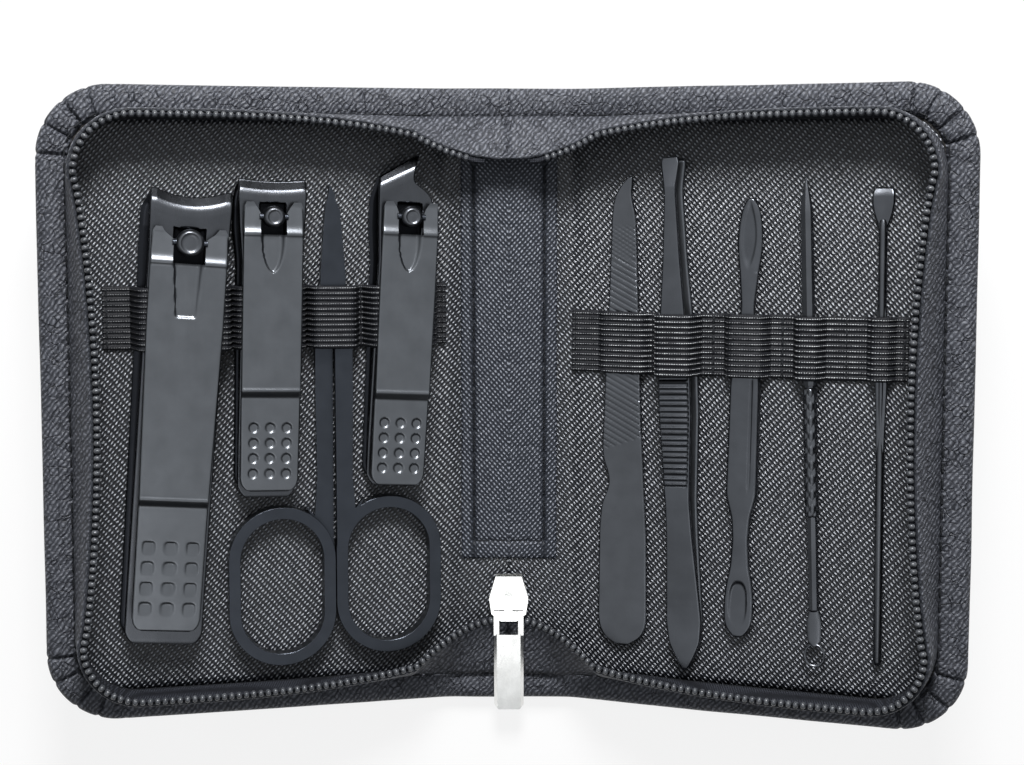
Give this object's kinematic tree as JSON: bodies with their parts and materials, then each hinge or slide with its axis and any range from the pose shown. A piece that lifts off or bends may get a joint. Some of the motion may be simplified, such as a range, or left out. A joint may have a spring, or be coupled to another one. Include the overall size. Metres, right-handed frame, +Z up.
{
  "type": "manicure set case",
  "caption": "Zip-up case lying open on its back, with nail clippers, scissors, file, tweezers and care tools held under elastic bands in two padded covers.",
  "frame": {"origin": "centre of the underside of the spine, where the open case stands", "axes": "+X across the case from the clipper cover to the file cover, +Y along the spine towards the tools' working ends, +Z up out of the open trays"},
  "size_m": [0.1632, 0.1154, 0.0353],
  "materials": {
    "shell": "grained synthetic leather",
    "board": "stiffener board",
    "lining": "glossy cross-grained",
    "webbing": "ribbed woven",
    "coil": "satin nylon",
    "bright_metal": "bright plated",
    "lever_steel": "satin dark coating",
    "dark_steel": "glossy dark coating"
  },
  "bodies": {
    "spine": {"spine_skin": "shell", "spine_board": "board", "spine_lining": "lining", "spine_strip": "lining", "spine_rolls": "shell", "top_bridge": "shell", "bottom_bridge": "shell", "lead_teeth": "coil"},
    "left_cover": {"left_skin": "shell", "left_board": "board", "left_lining": "lining", "left_roll": "shell", "left_wall": "shell", "left_tape": "webbing", "left_teeth": "coil", "left_elastic": "webbing"},
    "right_cover": {"right_skin": "shell", "right_board": "board", "right_lining": "lining", "right_roll": "shell", "right_wall": "shell", "right_tape": "webbing", "right_teeth": "coil", "right_elastic": "webbing"},
    "slider": {"zipper_slider": "bright_metal"},
    "pull": {"zipper_pull": "bright_metal"},
    "large_clipper": {"large_lower_arm": "dark_steel", "large_post": "dark_steel"},
    "large_jaw": {"large_upper_arm": "dark_steel"},
    "large_lever": {"large_lever": "lever_steel"},
    "small_clipper": {"small_lower_arm": "dark_steel", "small_post": "dark_steel"},
    "small_jaw": {"small_upper_arm": "dark_steel"},
    "small_lever": {"small_lever": "lever_steel"},
    "slant_clipper": {"slant_lower_arm": "dark_steel", "slant_post": "dark_steel"},
    "slant_jaw": {"slant_upper_arm": "dark_steel"},
    "slant_lever": {"slant_lever": "lever_steel"},
    "scissors": {"scissor_lower_half": "dark_steel", "scissor_upper_half": "dark_steel", "scissor_screw": "dark_steel"},
    "file": {"nail_file": "dark_steel"},
    "tweezers": {"tweezer_lower_arm": "dark_steel"},
    "tweezer_arm": {"tweezer_upper_arm": "dark_steel"},
    "pusher": {"cuticle_pusher": "dark_steel"},
    "needle": {"needle_shaft": "dark_steel", "needle_grip": "dark_steel"},
    "ear_pick": {"ear_pick": "dark_steel"}
  },
  "joints": [
    {"name": "left_cover_fold", "type": "hinge", "parent": "spine", "child": "left_cover", "pos_m": [-0.0115, 0, 0.0015], "axis": [0, -1, 0], "range_deg": [-75, 15], "deforming": ["top_bridge", "bottom_bridge", "lead_teeth"]},
    {"name": "right_cover_fold", "type": "hinge", "parent": "spine", "child": "right_cover", "pos_m": [0.0115, 0, 0.0015], "axis": [0, 1, 0], "range_deg": [-70, 20], "deforming": ["top_bridge", "bottom_bridge", "lead_teeth"]},
    {"name": "zipper_run", "type": "slide", "parent": "spine", "child": "slider", "axis": [0, -1, 0], "range_m": [0, 0.012], "deforming": ["bottom_bridge", "lead_teeth"]},
    {"name": "pull_flip", "type": "hinge", "parent": "slider", "child": "pull", "pos_m": [0, -0.0384, 0.0083], "axis": [-1, 0, 0], "range_deg": [0, 165]},
    {"name": "large_clipper_lift", "type": "slide", "parent": "left_cover", "child": "large_clipper", "axis": [0.2588, 0, 0.9659], "range_m": [0, 0.03], "deforming": ["left_elastic"]},
    {"name": "large_jaw_squeeze", "type": "hinge", "parent": "large_clipper", "child": "large_jaw", "pos_m": [-0.06194, -0.03956, 0.01812], "axis": [-0.9629, 0.0785, 0.258], "range_deg": [0, 0.59], "stiffness_Nm_per_rad": 5},
    {"name": "large_lever_lift", "type": "hinge", "parent": "large_clipper", "child": "large_lever", "pos_m": [-0.05505, 0.02923, 0.0229], "axis": [-0.9629, 0.0785, 0.258], "range_deg": [0, 30]},
    {"name": "small_clipper_lift", "type": "slide", "parent": "left_cover", "child": "small_clipper", "axis": [0.2588, 0, 0.9659], "range_m": [0, 0.03], "deforming": ["left_elastic"]},
    {"name": "small_jaw_squeeze", "type": "hinge", "parent": "small_clipper", "child": "small_jaw", "pos_m": [-0.04382, -0.01378, 0.01306], "axis": [-0.9655, 0.0279, 0.2587], "range_deg": [0, 0.65], "stiffness_Nm_per_rad": 5},
    {"name": "small_lever_lift", "type": "hinge", "parent": "small_clipper", "child": "small_lever", "pos_m": [-0.04106, 0.0337, 0.01822], "axis": [-0.9655, 0.0279, 0.2587], "range_deg": [0, 30]},
    {"name": "slant_clipper_lift", "type": "slide", "parent": "left_cover", "child": "slant_clipper", "axis": [0.2588, 0, 0.9659], "range_m": [0, 0.03], "deforming": ["left_elastic"]},
    {"name": "slant_jaw_squeeze", "type": "hinge", "parent": "slant_clipper", "child": "slant_jaw", "pos_m": [-0.02127, -0.01252, 0.00702], "axis": [-0.9644, 0.0558, 0.2584], "range_deg": [0, 0.55], "stiffness_Nm_per_rad": 5},
    {"name": "slant_lever_lift", "type": "hinge", "parent": "slant_clipper", "child": "slant_lever", "pos_m": [-0.01731, 0.03361, 0.01186], "axis": [-0.9644, 0.0558, 0.2584], "range_deg": [0, 30]},
    {"name": "scissors_lift", "type": "slide", "parent": "left_cover", "child": "scissors", "axis": [0.2588, 0, 0.9659], "range_m": [0, 0.03], "deforming": ["left_elastic"]},
    {"name": "file_lift", "type": "slide", "parent": "right_cover", "child": "file", "axis": [-0.342, 0, 0.9397], "range_m": [0, 0.03], "deforming": ["right_elastic"]},
    {"name": "tweezers_lift", "type": "slide", "parent": "right_cover", "child": "tweezers", "axis": [-0.342, 0, 0.9397], "range_m": [0, 0.03], "deforming": ["right_elastic"]},
    {"name": "tweezers_squeeze", "type": "hinge", "parent": "tweezers", "child": "tweezer_arm", "pos_m": [0.03218, -0.03965, 0.01174], "axis": [-0.9391, -0.0349, -0.3418], "range_deg": [0, 1.25], "stiffness_Nm_per_rad": 1},
    {"name": "pusher_lift", "type": "slide", "parent": "right_cover", "child": "pusher", "axis": [-0.342, 0, 0.9397], "range_m": [0, 0.03], "deforming": ["right_elastic"]},
    {"name": "needle_lift", "type": "slide", "parent": "right_cover", "child": "needle", "axis": [-0.342, 0, 0.9397], "range_m": [0, 0.03], "deforming": ["right_elastic"]},
    {"name": "ear_pick_lift", "type": "slide", "parent": "right_cover", "child": "ear_pick", "axis": [-0.342, 0, 0.9397], "range_m": [0, 0.03], "deforming": ["right_elastic"]}
  ]
}
